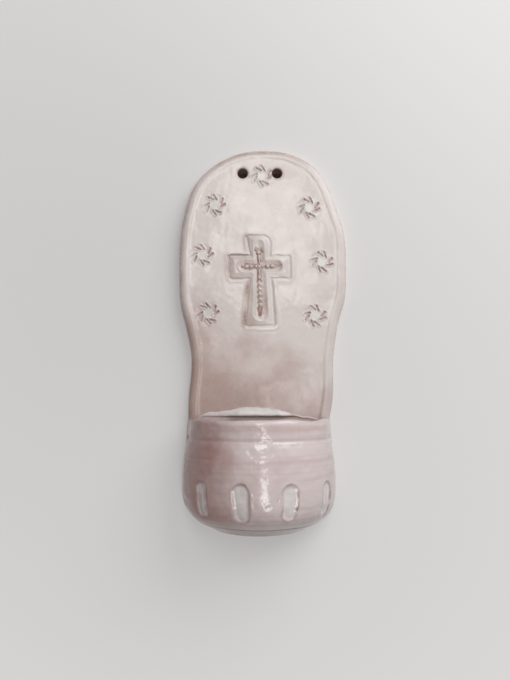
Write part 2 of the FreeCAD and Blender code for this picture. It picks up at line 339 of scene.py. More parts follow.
def filled(loops, spacing, keep):
    """Triangles over the area inside the first loop and outside the others, on a grid of points."""
    points = [Vector(p) for loop in loops for p in loop]
    edges, offset = [], 0
    for loop in loops:
        edges += [(offset + n, offset + (n + 1) % len(loop)) for n in range(len(loop))]
        offset += len(loop)
    low, high = loops[0].min(axis=0), loops[0].max(axis=0)
    columns = np.arange(low[0], high[0], spacing)
    rows = np.arange(low[1], high[1], spacing * math.sqrt(3) / 2)
    inner = np.array([(x + (n % 2) * spacing / 2, z) for n, z in enumerate(rows) for x in columns])
    points += [Vector(p) for p in inner[keep(inner)]]
    found, _, faces = delaunay_2d_cdt(points, edges, [], 1, 1e-7)[:3]
    return np.array([tuple(p) for p in found]), [tuple(face) for face in faces]


# ---- relief of the plate's face --------------------------------------------------------------------
def channel_distance(points):
    """Signed distance from the cross's channel, whose runs widen and melt into each other."""
    channel = np.full(len(points), FAR)
    for start, end, first, last in channel_runs:
        run = np.array(end) - start
        share = np.clip((points - start) @ run / (run @ run), 0, 1)
        reach = segment_distance(points, start, end) - first - (last - first) * share
        blend = np.clip(0.5 + (reach - channel) / (2 * channel_join), 0, 1)
        channel = reach * (1 - blend) + np.minimum(channel, 1e3) * blend
        channel -= channel_join / 2 * blend * (1 - blend)
    return channel


def cross_relief(points):
    """Depth of the cross's recess, how brown its walls, crease and parts of its floor are drawn, partly as
    painted shade, and where its channel is.
    """
    across, up = (points - cross_middle).T
    shape = rounded_distance(points, cross_outline, cross_corner)
    rightward = smoothstep(-9, 7, across + 0.25 * smoothstep(6, 14, up) * up)
    step = 0.3
    slope = [(rounded_distance(points + shift, cross_outline, cross_corner) - shape) / step
             for shift in np.eye(2) * step]
    above, beside = smoothstep(0.3, 0.8, slope[1]), smoothstep(-0.2, -0.8, slope[0])
    left_wall, right_wall, top_wall = cross_wall
    wall_width = left_wall + (right_wall - left_wall) * rightward
    wall_width = wall_width + (top_wall - wall_width) * above * (1 - 0.6 * rightward)
    shape = shape + 0.12 * waves(points, 8, 11)
    floor = smoothstep(1, 0, shape / wall_width)
    channel = channel_distance(points)

    # The floor leans, its border is pillowed and the channel sunk, and clay swells up outside it.
    left_depth, right_depth = cross_depth
    sank = smoothstep(8, -10, across + 0.25 * np.clip(up - 5, 0, 12))
    depth = right_depth + (left_depth - right_depth) * sank - 0.012 * up
    pillow = 0.42 * smoothstep(0.1, -0.9, shape) + 0.34 * smoothstep(-0.6, -3.0, shape)
    crest = 0.14 * bell(channel, 0.1, 0.45)
    crest -= channel_depth * smoothstep(0.2, -2.2, channel) * (1 - 0.4 * smoothstep(-1, 1.5, across))
    low_right = rightward * smoothstep(-8, -24, up)
    shoulder = (0.12 + 0.06 * rightward) * bell(shape - wall_width, 0.1, 0.8)
    shoulder += (0.05 * rightward + 0.26 * low_right) * bell(shape, 2.5, 0.75)
    relief = floor * (depth - pillow * (0.62 + 0.38 * sank)) - crest * smoothstep(0, -0.8, shape) - shoulder
    relief += 0.14 * rightward * bell(shape, 0, 0.45)

    # The left walls and the crease are drawn brown, more on the left: glaze rubbed thinner there, and
    # painted shade on the side away from the lamp. The glaze is also thinner and pinker in these parts of
    # the floor.
    shaded = 1 - 0.75 * rightward
    patchy = np.clip(0.66 + 0.2 * waves(points, 15, 12), 0.3, 1)
    wall = smoothstep(-0.6, 0.2, shape) * smoothstep(3.0, 0.7, shape) * shaded * beside * patchy
    wall *= 0.75 + 0.30 * smoothstep(-4, -14, up)
    crease = (0.62 * shaded + 0.14) * bell(shape, 0, 0.42)
    channel_right = 0.62 * smoothstep(0.3, -0.8, channel) * smoothstep(-2.0, 2.0, across)
    top_buds = 0.55 * bell(np.hypot(across - 1.0, up - 8.5), 0, 3.4)
    left_end = 0.55 * smoothstep(-10, -15, across) * (shape < 0)
    by_drop = 1.1 * bell(np.hypot(across - 1.6, (up + 25.5) / 1.6), 0, 2.4)
    floor_left = 0.36 * smoothstep(0.2, -0.6, shape) * smoothstep(1.5, -4, across)
    blush = np.maximum.reduce([channel_right, top_buds, left_end, by_drop, floor_left])
    worn_and_shade = np.maximum.reduce([wall, crease, blush * floor * patchy])
    return relief, worn_and_shade, smoothstep(0.2, -0.8, channel)


def bead_relief(points):
    """A string of raised beads with pits beside them, a star where the strings cross, and a drop.

    Gives depth, and a darkness that paints shade into the pits, cuts and the outlines round the raised
    parts. The drop is what the two darker cuts leave standing.
    """
    height = np.zeros(len(points))
    dark = np.zeros(len(points))
    axis, level = cross_middle
    for n in range(bead_count):
        across = np.abs(points[:, 0] - (axis + bead_lean * n))
        along = points[:, 1] - (level + bead_top - n * bead_pitch)
        height = np.maximum(height, 0.85 * smoothstep(1.2, 0.3, np.hypot(across, along * 0.85)))
        pit = bell(across, 1.05, 0.52) * bell(along, -bead_pitch / 2, 0.8)
        height -= 0.65 * pit
        dark = np.maximum(dark, 1.5 * pit)
    for start, end, width in strips:
        far = segment_distance(points, np.add(cross_middle, start), np.add(cross_middle, end))
        height = np.maximum(height, 0.65 * smoothstep(width + 0.4, width - 0.2, far))
        dark = np.maximum(dark, 1.2 * bell(far - width, 0.45, 0.36))
    for x, z, radius in buds:
        far = np.hypot(points[:, 0] - (axis + x), points[:, 1] - (level + z))
        ring = bell(far - radius, 0.15, 0.32)
        height = np.maximum(height - 0.4 * ring, 0.9 * np.sqrt(np.clip(1 - (far / radius) ** 2, 0, 1)))
        dark = np.maximum(dark, 0.95 * ring) * smoothstep(0.35, 0.8, far / radius)
    for start, end, width, darkness in cuts:
        far = segment_distance(points, np.add(cross_middle, start), np.add(cross_middle, end))
        height -= 0.5 * smoothstep(width + 0.4, width - 0.2, far)
        dark = np.maximum(dark, darkness * smoothstep(width + 0.45, width - 0.1, far))
    aside, off = np.abs(points[:, 0] - axis), np.abs(points[:, 1] - level)
    star = np.sqrt(aside / star_reach[0]) + np.sqrt(off / star_reach[1])
    height = np.maximum(height, 0.75 * smoothstep(1.10, 0.88, star))
    dark = np.maximum(dark * smoothstep(0.8, 1.1, star), 1.1 * bell(star, 1.1, 0.08))
    eye = bell(np.hypot(aside, off) + 0.4 * aside, 1.35, 0.36)
    return 0.45 * eye - height, np.maximum(dark, 1.2 * eye)


def stamp_relief(points):
    """Depth of the pinwheel stamps, how brown their strokes are drawn, and the white glaze gathered in
    their centres.
    """
    depth = np.zeros(len(points))
    clay = np.zeros(len(points))
    pool = np.zeros(len(points))
    middle = (blade_inner + blade_outer) / 2
    half = (blade_outer - blade_inner) / 2 / math.cos(math.radians(blade_turn))
    for x, z, turn, sink, lean in stamps:
        place = points - (x, z)
        near = np.hypot(place[:, 0], place[:, 1])
        sunk_side = place @ (math.cos(math.radians(lean)), math.sin(math.radians(lean)))
        depth += smoothstep(6.9, stamp_radius, near) * (0.20 + 0.035 * sunk_side)
        depth -= 0.22 * smoothstep(3.4, 1.6, near)
        pool = np.maximum(pool, 0.8 * smoothstep(3.6, 1.5, near))
        strokes = np.full(len(points), FAR)
        for angle in blade_angles:
            outward = math.radians(angle + turn)
            heading = outward + math.radians(blade_turn)
            cx, cz = x + middle * math.cos(outward), z + middle * math.sin(outward)
            dx, dz = half * math.cos(heading), half * math.sin(heading)
            stroke = segment_distance(points, (cx - dx, cz - dz), (cx + dx, cz + dz))
            strokes = np.minimum(strokes, stroke)
        depth += sink * smoothstep(blade_half_width + 0.3, 0.1, strokes)
        depth -= 0.26 * bell(strokes, 0.9, 0.3)
        patchy = 0.56 + 0.34 * waves(points, 3.6, 31) - 0.22 * sunk_side / stamp_radius
        clay = np.maximum(clay, smoothstep(0.62, 0.08, strokes) * np.clip(patchy, 0.12, 1.0))
        blush = np.clip(-sunk_side / stamp_radius, 0, 1) * np.clip(0.5 + 0.5 * waves(points, 3, 32), 0, 1)
        petals = smoothstep(1.9, 0.6, strokes) * smoothstep(2.0, 3.2, near)
        clay = np.maximum(clay, petals * np.clip(0.10 + 0.36 * blush, 0, 1))
    return depth, clay, pool


def face_relief(points):
    """Depth of the plate's face below its plane, and its glaze as (worn, pooled, bare): worn also holds
    the shade painted into the cross and its beads, and pooled the light painted beside the cross's right
    side.
    """
    calm = smoothstep(-75, -100, points[:, 1])
    depth = np.zeros(len(points))
    for length, seed, count, height, calmed in swells:
        depth += (1 - calmed * calm) * height * waves(points, length, seed, count)
    cross_sunk, crease, floor = cross_relief(points)
    beads, bead_dark = bead_relief(points)
    stamp_sunk, stamp_brown, stamp_pool = stamp_relief(points)
    depth = depth + cross_sunk + beads * floor + stamp_sunk
    worn_and_shade = np.maximum.reduce([crease, stamp_brown, bead_dark * floor])
    shape = rounded_distance(points, cross_outline, cross_corner)
    # Whiter glaze along the right side of the cross's edge: glaze gathered against the wall, and painted
    # light on the side that faces the lamp.
    beside_cross = smoothstep(-6, 8, points[:, 0]) * smoothstep(4.5, 2, shape) * (shape > -1)
    pooled_and_lit = np.maximum(stamp_pool, 0.4 * beside_cross)
    for x, z in holes:
        far = np.hypot(points[:, 0] - x, points[:, 1] - z) - hole_radius
        depth += 0.28 * np.exp(-np.clip(far, 0, None) / 0.9)
        worn_and_shade = np.maximum(worn_and_shade, 0.25 * np.exp(-np.clip(far - hole_round, 0, None) / 0.8))
    glaze = np.stack([np.clip(worn_and_shade, 0, 1.5), np.clip(pooled_and_lit, 0, 1), np.zeros(len(points))], axis=1)
    return depth, glaze


# ---- back plate ----------------------------------------------------------------------------------
def plate_outline():
    """Closed outline of the plate as (x, z), evenly spaced, with the waviness of a hand cut."""
    centre = Vector((plate_middle[0], front + thickness / 2, plate_middle[1]))
    angles = np.linspace(0, 2 * math.pi, 1500, endpoint=False)
    found = sweep(tree_of("back_plate"), centre, Vector((1, 0, 0)), Vector((0, 0, 1)), angles, True)
    found += plate_middle
    loop = evenly(np.vstack([found, found[:1]]), edge_step)[:-1]
    loop = smoothed(loop, outline_softness / edge_step, True)
    free = smoothstep(rim_z, rim_z + 8, loop[:, 1])
    cut_in = np.clip(0.6 + 0.5 * waves(loop, 17, 3), 0.3, 1.6) * wobble * free
    return loop + inward_normals(loop) * cut_in[:, None]


def plate_edge(loop):
    """Rings of points from the plate's face over its edge to its back, with their glaze."""
    x, z = loop.T
    count = len(loop)
    inward = inward_normals(loop)
    above = smoothstep(rim_z - 3, rim_z + 0.5, z)
    beside = smoothstep(rim_z - groove_drop - 1.5, rim_z - groove_drop + 1, z)
    radius = joint_round + (collar_round - joint_round) * beside + (front_round - collar_round) * above
    reach = joint_reach + (rim_reach - joint_reach) * smoothstep(base_z + 20, base_z + 36, z)
    # The edge's band is drawn browner towards the left and top: glaze rubbed thinner on the rolled edge,
    # and on the left painted shade as well.
    leftward = 0.35 + 0.65 * smoothstep(25, -10, x - 0.4 * (z + 20))
    topward = smoothstep(0, 10, z)
    # Whiter glaze on the lower right of the edge: glaze gathered towards the bowl, and painted light on the
    # brighter right side.
    beside_bowl = 0.5 * smoothstep(rim_z + 60, rim_z + 10, z) * smoothstep(-20, 20, x)
    rings, glazes = [], []
    for share in np.linspace(1, 0, face_rings):
        inset = radius + (reach - radius) * share
        points = loop + inward * inset[:, None]
        depth, glaze = face_relief(points)
        roll = ridge_height * bell(inset, ridge_inset, ridge_width) * above
        rings.append((points, front + depth - roll))
        band = 0.20 * smoothstep(ridge_inset, ridge_inset - 1.6, inset) * above
        glaze[:, 0] = np.maximum(glaze[:, 0], band * np.maximum(leftward, 1.2 * topward))
        glaze[:, 1] = np.maximum(glaze[:, 1], beside_bowl * smoothstep(ridge_inset + 2, ridge_inset, inset))
        glazes.append(glaze)
    edge_depth = rings[-1][1] - front
    for angle in np.linspace(0, math.pi / 2, round_rings)[1:]:
        inset = radius * (1 - math.sin(angle))
        sink = radius * (1 - math.cos(angle)) + edge_depth * math.cos(angle)
        rings.append((loop + inward * inset[:, None], front + sink))
        patchy = 0.6 + 0.4 * waves(loop, 9, 17)
        worn_and_shade = 0.18 * leftward + 0.33 * topward + 0.20 * leftward * math.sin(2 * angle) * patchy
        glazes.append(np.stack([np.clip(worn_and_shade * above, 0, 1), beside_bowl, np.zeros(count)], axis=1))
    side_end = -back_round
    for step in range(1, side_rings):
        share = step / side_rings
        dent = side_dent * above * math.sin(math.pi * share) * (0.6 + 0.5 * waves(loop, 12, 19))
        rings.append((loop + inward * dent[:, None], (front + radius) * (1 - share) + side_end * share))
        glazes.append(np.stack([np.zeros(count), beside_bowl, np.zeros(count)], axis=1))
    for angle in np.linspace(0, math.pi / 2, back_rings):
        inset = back_round * (1 - math.cos(angle))
        rings.append((loop + inward * inset, np.full(count, side_end + back_round * math.sin(angle))))
        bare = math.sin(angle) ** 2
        glazes.append(np.tile((0.9 * bare * (1 - bare) * 4, 0, bare), (count, 1)))
    points = np.concatenate([np.stack([p[:, 0], y, p[:, 1]], axis=1) for p, y in rings])
    return points, grid_faces(len(rings), count, True), np.concatenate(glazes), rings


def hole_wall(x, z, mouth):
    """The wall of a hanging hole, from its rounded front edge to the back."""
    around = circle(0, 0, 1, hole_points)
    start, _ = face_relief(mouth)
    rings = []
    for angle in np.linspace(0, math.pi / 2, 7):
        radius = hole_radius + hole_round - hole_round * math.sin(angle)
        rings.append((radius, front + start * math.cos(angle) + hole_round * (1 - math.cos(angle))))
    for level in np.linspace(front + hole_round, 0, 9)[1:]:
        rings.append((hole_radius, np.full(hole_points, level)))
    points = np.concatenate([np.stack([x + around[:, 0] * radius, level, z + around[:, 1] * radius], axis=1)
                             for radius, level in rings])
    # Browner deeper into each hole: glaze running thinner on the cut wall, and painted shade down in the
    # hole.
    worn_and_shade = np.repeat(np.clip(0.22 + 1.3 * (np.arange(len(rings)) / 7) ** 3, 0, 1), hole_points)
    glaze = np.stack([worn_and_shade, 0 * worn_and_shade, 0 * worn_and_shade], axis=1)
    return points, grid_faces(len(rings), hole_points, True), glaze


def clear_of_holes(points, radius):
    clear = np.ones(len(points), bool)
    for x, z in holes:
        clear &= np.hypot(points[:, 0] - x, points[:, 1] - z) > radius
    return clear


def sheet(outer, radius, cut, spacing, keep):
    """Flat points and faces inside a loop, with the hanging holes left out."""
    loops = [outer] + [circle(x, z, radius, hole_points) for x, z in holes]
    flat, faces = filled(loops, spacing, keep)
    clear = clear_of_holes(flat[np.array(faces)].mean(axis=1), cut)
    return flat, [face for face, good in zip(faces, clear) if good]


def back_plate(material):
    edge_points, edge_faces, edge_glaze, rings = plate_edge(plate_outline())
    face_loop, back_loop = rings[0][0], rings[-1][0]
    mouth_radius = hole_radius + hole_round

    def on_face(points):
        inside = polygon_distance(points, face_loop[::4]) < -0.3
        return inside & clear_of_holes(points, mouth_radius + 0.2)

    def on_back(points):
        return polygon_distance(points, back_loop[::4]) < -1.5

    flat, faces = sheet(face_loop, mouth_radius, hole_radius + hole_round * 0.98, face_step, on_face)
    depth, glaze = face_relief(flat)
    face = (np.stack([flat[:, 0], front + depth, flat[:, 1]], axis=1), faces, glaze)
    flat, faces = sheet(back_loop, hole_radius, hole_radius * 0.98, back_step, on_back)
    bare = np.tile((0.0, 0.0, 1.0), (len(flat), 1))
    back = (np.stack([flat[:, 0], np.zeros(len(flat)), flat[:, 1]], axis=1), faces, bare)
    walls = [hole_wall(x, z, circle(x, z, mouth_radius, hole_points)) for x, z in holes]
    welded = weld([(edge_points, edge_faces, edge_glaze), face, back, *walls])
    make_piece("back_plate_glazed", *welded, "back_plate", "plate_glaze", material)


# ---- bowl --------------------------------------------------------------------------------------------
def bowl_profile():
    """Half section of the bowl as (radius, height), from the foot's middle up over the rim and inside."""
    azimuth = math.radians(profile_azimuth)
    outward = Vector((math.sin(azimuth), -math.cos(azimuth), 0))
    up = Vector((0, 0, 1))
    tree = tree_of("bowl")
    eye_z = rim_z - 24                 # level that the rays run to, and from inside start at
    eye_out = 10                       # how far out those from outside aim
    eye = Vector((bowl_x, front, 0)) + up * eye_z
    outer = sweep(tree, eye + outward * eye_out, outward, up, np.radians(np.arange(-86, 41, 0.5)), True)
    outer += (eye_out, eye_z)
    inner = sweep(tree, eye, outward, up, np.radians(np.arange(33, -89, -0.5)), False) + (0, eye_z)
    lip_drop, lip_height = 2.4, 2.3    # the CAD rim's rounding is replaced by a fuller one
    outer = outer[outer[:, 1] < rim_z - lip_drop]
    inner = inner[inner[:, 1] < rim_z - lip_drop]
    lip_out, lip_in = outer[-1], inner[0]
    half_wall = (lip_out[0] - lip_in[0]) / 2
    turns = np.linspace(0, math.pi, 14)
    lip = np.stack([(lip_out[0] + lip_in[0]) / 2 + half_wall * np.cos(turns),
                    rim_z - lip_height + lip_height * np.sin(turns)], axis=1)
    line = np.vstack([[(0, base_z)], outer, lip, inner, [(0, inner[-1, 1])]])
    return evenly(smoothed(evenly(line, profile_step), 1.3, False), profile_step)


def bowl_outside(azimuth, radius, height):
    """Radial sinking of the outer wall, and its glaze: throwing lines, groove and gouged flutes."""
    along = np.radians(azimuth) * radius
    sunk = np.zeros(len(radius))
    for stretch, unevenness in ((0.10, throwing_lines), (1, dents)):
        place = np.stack([along * stretch, height], axis=1)
        for length, seed, count, size in unevenness:
            sunk += size * waves(place, length, seed, count)
    groove = height - (rim_z - groove_drop)
    sunk += 0.09 * bell(groove, 0, 1.3) - 0.08 * bell(groove, 2.9, 1.5)
    # The groove is drawn as a brown line: painted shade in the groove.
    worn_and_shade = 0.30 * bell(groove, -0.1, 0.6)
    pooled_and_lit = np.zeros(len(radius))
    for middle, level, length, width, white, lean in flutes:
        side = np.radians(azimuth - middle) * radius
        point = np.stack([side + lean * (height - level), height - level], axis=1)
        point = point + 0.16 * np.stack([waves(point + middle, 8, seed) for seed in (44, 45)], axis=1)
        half = (length - width) / 2
        shape = segment_distance(point, (0.0, -half), (0.0, half)) - width / 2 - 0.02 * point[:, 1]
        sunk += flute_depth * smoothstep(0.3, -1.9, shape) - 0.14 * bell(shape, 0.6, 0.6)
        streaks = 0.75 + 0.35 * waves(point * (1, 0.5) + middle, 3.5, 49)
        pooled_and_lit = np.maximum(pooled_and_lit, white * smoothstep(-0.3, -1.5, shape) * np.clip(streaks, 0.55, 1))
        uneven = 0.52 + 0.16 * np.tanh(point[:, 0] / 2) + 0.22 * waves(point + middle, 6, 50)
        worn_and_shade = np.maximum(worn_and_shade, bell(shape, -0.2, 0.55) * np.clip(uneven, 0.1, 1))
    # Brown below the cut foot line: glaze thinner on the trimmed foot, and painted shade on its down-turned
    # bevel.
    foot = smoothstep(foot_z + 0.2, foot_z - 0.2, height)
    above_foot = smoothstep(foot_z + 0.2, foot_z + 0.8, height) * smoothstep(foot_z + 5, foot_z + 1, height)
    sunk += 0.35 * bell(height, foot_z, 0.35)
    worn_and_shade = np.maximum.reduce([worn_and_shade, 0.7 * foot, 0.9 * bell(height, foot_z, 0.3)])
    return sunk, worn_and_shade, np.maximum(pooled_and_lit, 0.4 * above_foot)


def bowl(material):
    profile = bowl_profile()
    top = int(np.argmax(profile[:, 1]))
    azimuths = np.linspace(-azimuth_end, azimuth_end, azimuth_count)
    radius, azimuth = [grid.ravel() for grid in np.meshgrid(profile[:, 0], azimuths, indexing="ij")]
    height = np.repeat(profile[:, 1], azimuth_count)
    outside = np.repeat(np.arange(len(profile)) <= top, azimuth_count)
    turned = np.radians(azimuth)
    sunk, worn_and_shade, pooled_and_lit = bowl_outside(azimuth, radius, height)
    steep = smoothstep(20, 28, radius)
    edge = smoothstep(90.5, 86, np.abs(azimuth))
    inner_lines = 0.10 * waves(np.stack([turned * 3, height], axis=1), 4.2, 46)
    radial = np.where(outside, -np.clip(sunk + wall_slack, 0, None) * steep * edge,
                      inner_lines * smoothstep(8, 20, radius)) * smoothstep(rim_z, rim_z - 2.0, height)
    rim_wave = 0.35 * waves(np.stack([turned * 36], axis=1), 30, 47) - 0.25
    lift = rim_wave * smoothstep(rim_z - 9, rim_z, height) * edge
    x = bowl_x + (radius + radial) * np.sin(turned)
    y = front - (radius + radial) * np.cos(turned)

    # The wall's two ends are drawn out to the plate's outline, and its upper corners back to the plate.
    outline = plate_outline()
    upper = smoothstep(rim_z - 4, rim_z - 0.5, height)
    for side in (-1, 1):
        edge_line = outline[(outline[:, 0] * side > 20) & (outline[:, 1] < rim_z + 3)]
        edge_line = edge_line[np.argsort(edge_line[:, 1])]
        target = np.interp(height, edge_line[:, 1], edge_line[:, 0]) - side * 0.05
        pulled = smoothstep(79, 89.5, azimuth * side) * (outside & (height > base_z + 8))
        x = x + (target - x) * pulled ** 1.5
        y = y + 2.0 * smoothstep(84, 90, azimuth * side) * outside * upper
    points = np.stack([x, y, height + lift], axis=1)

    lip_line = 0.30 * bell(height, rim_z - 0.5, 0.7) * (0.7 + 0.3 * waves(points, 12, 48))
    # Brown at the rim's left corner: painted shade on the side away from the lamp.
    left_corner = 0.8 * smoothstep(-62, -80, azimuth) * upper
    worn_and_shade = np.maximum.reduce([np.where(outside, worn_and_shade, 0.0), lip_line, left_corner])
    pooled_and_lit = np.where(outside, pooled_and_lit, 0.35 + 0.4 * smoothstep(base_z + 14, base_z + 6, height))
    bare = np.where(outside & (height < base_z + 0.05), 1.0, 0.0)
    glaze = np.clip(np.stack([worn_and_shade, pooled_and_lit, bare], axis=1), 0, 1)
    faces = grid_faces(len(profile), azimuth_count, False)
    make_piece("bowl_glazed", *weld([(points, faces, glaze)]), "bowl", "bowl_glaze", material)


# ---- clay worked into the joint ------------------------------------------------------------------------
def seam_coil(material):
    """Roll of clay pressed by finger into the inside corner, down one side, under and up the other."""
    low, high = [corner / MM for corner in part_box("seam_coil")]
    size = high.y - low.y
    step = 0.5
    profile = bowl_profile()
    inner = profile[int(np.argmax(profile[:, 1])):]
    inner = inner[inner[:, 1] < high.z - 0.2]
    inner[-1, 0] = 0.0
    side = np.stack([bowl_x - inner[:, 0], inner[:, 1]], axis=1)
    other = np.stack([bowl_x + inner[::-1, 0], inner[::-1, 1]], axis=1)
    path = evenly(np.vstack([side, other[1:]]), step)
    inward = quarter_turned(smoothed(np.gradient(path, axis=0), 3, False))
    run = np.arange(len(path)) * step
    pressed = 0.86 + 0.07 * np.sin(run / 4.2 + 1.1 * np.sin(run / 17)) + 0.04 * waves(path, 6, 52)
    pressed *= np.sqrt(np.clip(np.minimum(run, run[-1] - run) / 7, 0.0004, 1))
    rows = []
    for angle in np.linspace(-0.12, math.pi / 2 + 0.12, 12):
        reach = size * pressed * (1 - 0.10 * math.sin(2 * max(0, min(angle, math.pi / 2))))
        flat = path + inward * (reach * math.cos(angle))[:, None]
        rows.append(np.stack([flat[:, 0], front - reach * math.sin(angle), flat[:, 1]], axis=1))
    points = np.concatenate(rows)
    worn_and_shade = np.clip(0.25 * waves(points, 9, 53), 0, 1)
    glaze = np.stack([worn_and_shade, np.full(len(points), 0.45), np.zeros(len(points))], axis=1)
    welded = weld([(points, grid_faces(len(rows), len(path), False), glaze)])
    make_piece("seam_coil_glazed", *welded, "seam_coil", "coil_glaze", material)


def back_lip(material):
    """Strip of clay across the plate behind the mouth, thick with white glaze above a hollow drawn brown as
    painted shade under the lip, where the glaze is also thinner.
    """
    low, high = [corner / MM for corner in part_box("back_lip")]
    xs = np.arange(low.x, high.x, 0.25)
    crest = np.interp(xs, (low.x, *lip_crest_x, high.x), rim_z + np.array(lip_crest_rise))
    crest = smoothed(crest[:, None], 4, False)[:, 0] + 0.10 * waves(xs[:, None], 7, 61)
    nose = (high.y - low.y) * np.interp(xs, (low.x, *lip_nose_x, high.x), lip_nose_share)
    hollow = np.interp(xs, (low.x, -19, -15, high.x), (0.8, 0.8, 0.45, 0.4)) * nose
    under = np.minimum(rim_z + 1.3 + 0.07 * waves(xs[:, None], 9, 62), crest - 0.5)
    turn = 0.7                         # height over which the hollow turns out to the nose
    thick = smoothstep(17, 11, xs) * (0.62 + 0.3 * smoothstep(-22, -12, xs))
    # brown is how brown the hollow under the nose is drawn: painted shade under the lip over thinner glaze;
    # shade fades it out up the nose.
    brown = smoothstep(-24, -14, xs) * 0.3
    rows, glazes = [], []

    def add_row(reach, level, worn_and_shade, pooled_and_lit):
        rows.append(np.stack([xs, front - reach, level], axis=1))
        glazes.append(np.stack([worn_and_shade, pooled_and_lit, 0 * worn_and_shade], axis=1))

    for share in np.linspace(0, 1, 8):
        add_row(hollow, low.z + (under - turn - low.z) * share, brown, 0.3 * (1 - brown))
    for angle in np.linspace(-math.pi / 2, 0, 7)[1:]:
        bulge = 1 + math.sin(angle)
        shade = brown * (1 - bulge) ** 0.5
        reach = hollow + (nose - hollow) * math.cos(angle)
        add_row(reach, under - turn + turn * bulge, shade, thick * (1 - shade))
    for angle in np.linspace(0, math.pi / 2, 12)[1:]:
        reach = nose * math.cos(angle) ** 0.7 - 0.15 * math.sin(angle)
        worn_and_shade = np.full(len(xs), 0.35 * math.sin(angle) ** 8)
        add_row(reach, under + (crest - under) * math.sin(angle), worn_and_shade, thick)
    points, glaze = np.concatenate(rows), np.concatenate(glazes)
    welded = weld([(points, grid_faces(len(rows), len(xs), False), glaze)])
    make_piece("back_lip_glazed", *welded, "back_lip", "lip_glaze", material)


# ---- materials -----------------------------------------------------------------------------------------
class Nodes:
    """The node tree of a material or a world, under construction."""

    def __init__(self, owner):
        owner.use_nodes = True
        self.tree = owner.node_tree

    def fill(self, node, inputs):
        """Sets a node's inputs by name or number. A value that is a socket is linked."""
        for name, value in inputs.items():
            if isinstance(value, bpy.types.NodeSocket):
                self.tree.links.new(value, node.inputs[name])
            else:
                node.inputs[name].default_value = value

    def node(self, kind, inputs=None, **settings):
        made = self.tree.nodes.new(kind)
        for name, value in settings.items():
            setattr(made, name, value)
        self.fill(made, inputs or {})
        return made

    def ramp(self, value, low, high, start=0.0, end=1.0, shape="SMOOTHSTEP"):
        inputs = {"Value": value, "From Min": low, "From Max": high, "To Min": start, "To Max": end}
        return self.node("ShaderNodeMapRange", inputs, interpolation_type=shape).outputs["Result"]

    def math(self, operation, first, second):
        return self.node("ShaderNodeMath", {0: first, 1: second}, operation=operation).outputs["Value"]

    def mix(self, amount, first, second):
        """Blend of two colours, each a triple or a socket."""
        first, second = [(*c, 1) if isinstance(c, tuple) else c for c in (first, second)]
        inputs = {"Factor": amount, 6: first, 7: second}
        return self.node("ShaderNodeMix", inputs, data_type="RGBA").outputs[2]

    def blend(self, amount, first, second):
        """Blend of two shaders."""
        return self.node("ShaderNodeMixShader", {"Fac": amount, 1: first, 2: second}).outputs["Shader"]


class Surface(Nodes):
    """A new material, with its textures placed in the object's own space."""

    def __init__(self, name):
        self.material = bpy.data.materials.new(name)
        super().__init__(self.material)
        self.shader = self.tree.nodes["Principled BSDF"]
        self.place = self.node("ShaderNodeTexCoord").outputs["Object"]

    def noise(self, scale, detail=4.0, roughness=0.55, stretch=None):
        place = self.place
        if stretch:
            place = self.node("ShaderNodeMapping", {"Vector": place, "Scale": stretch}).outputs["Vector"]
        inputs = {"Vector": place, "Scale": scale, "Detail": detail, "Roughness": roughness}
        return self.node("ShaderNodeTexNoise", inputs).outputs["Fac"]

    def along(self, direction, start, end):
        """From 0 to 1 between two distances along a direction."""
        made = self.node("ShaderNodeVectorMath", {0: self.place, 1: direction}, operation="DOT_PRODUCT")
        return self.ramp(made.outputs["Value"], start, end)

    def bump(self, height, strength, distance, after=None):
        inputs = {"Height": height, "Strength": strength, "Distance": distance}
        if after:
            inputs["Normal"] = after
        return self.node("ShaderNodeBump", inputs).outputs["Normal"]


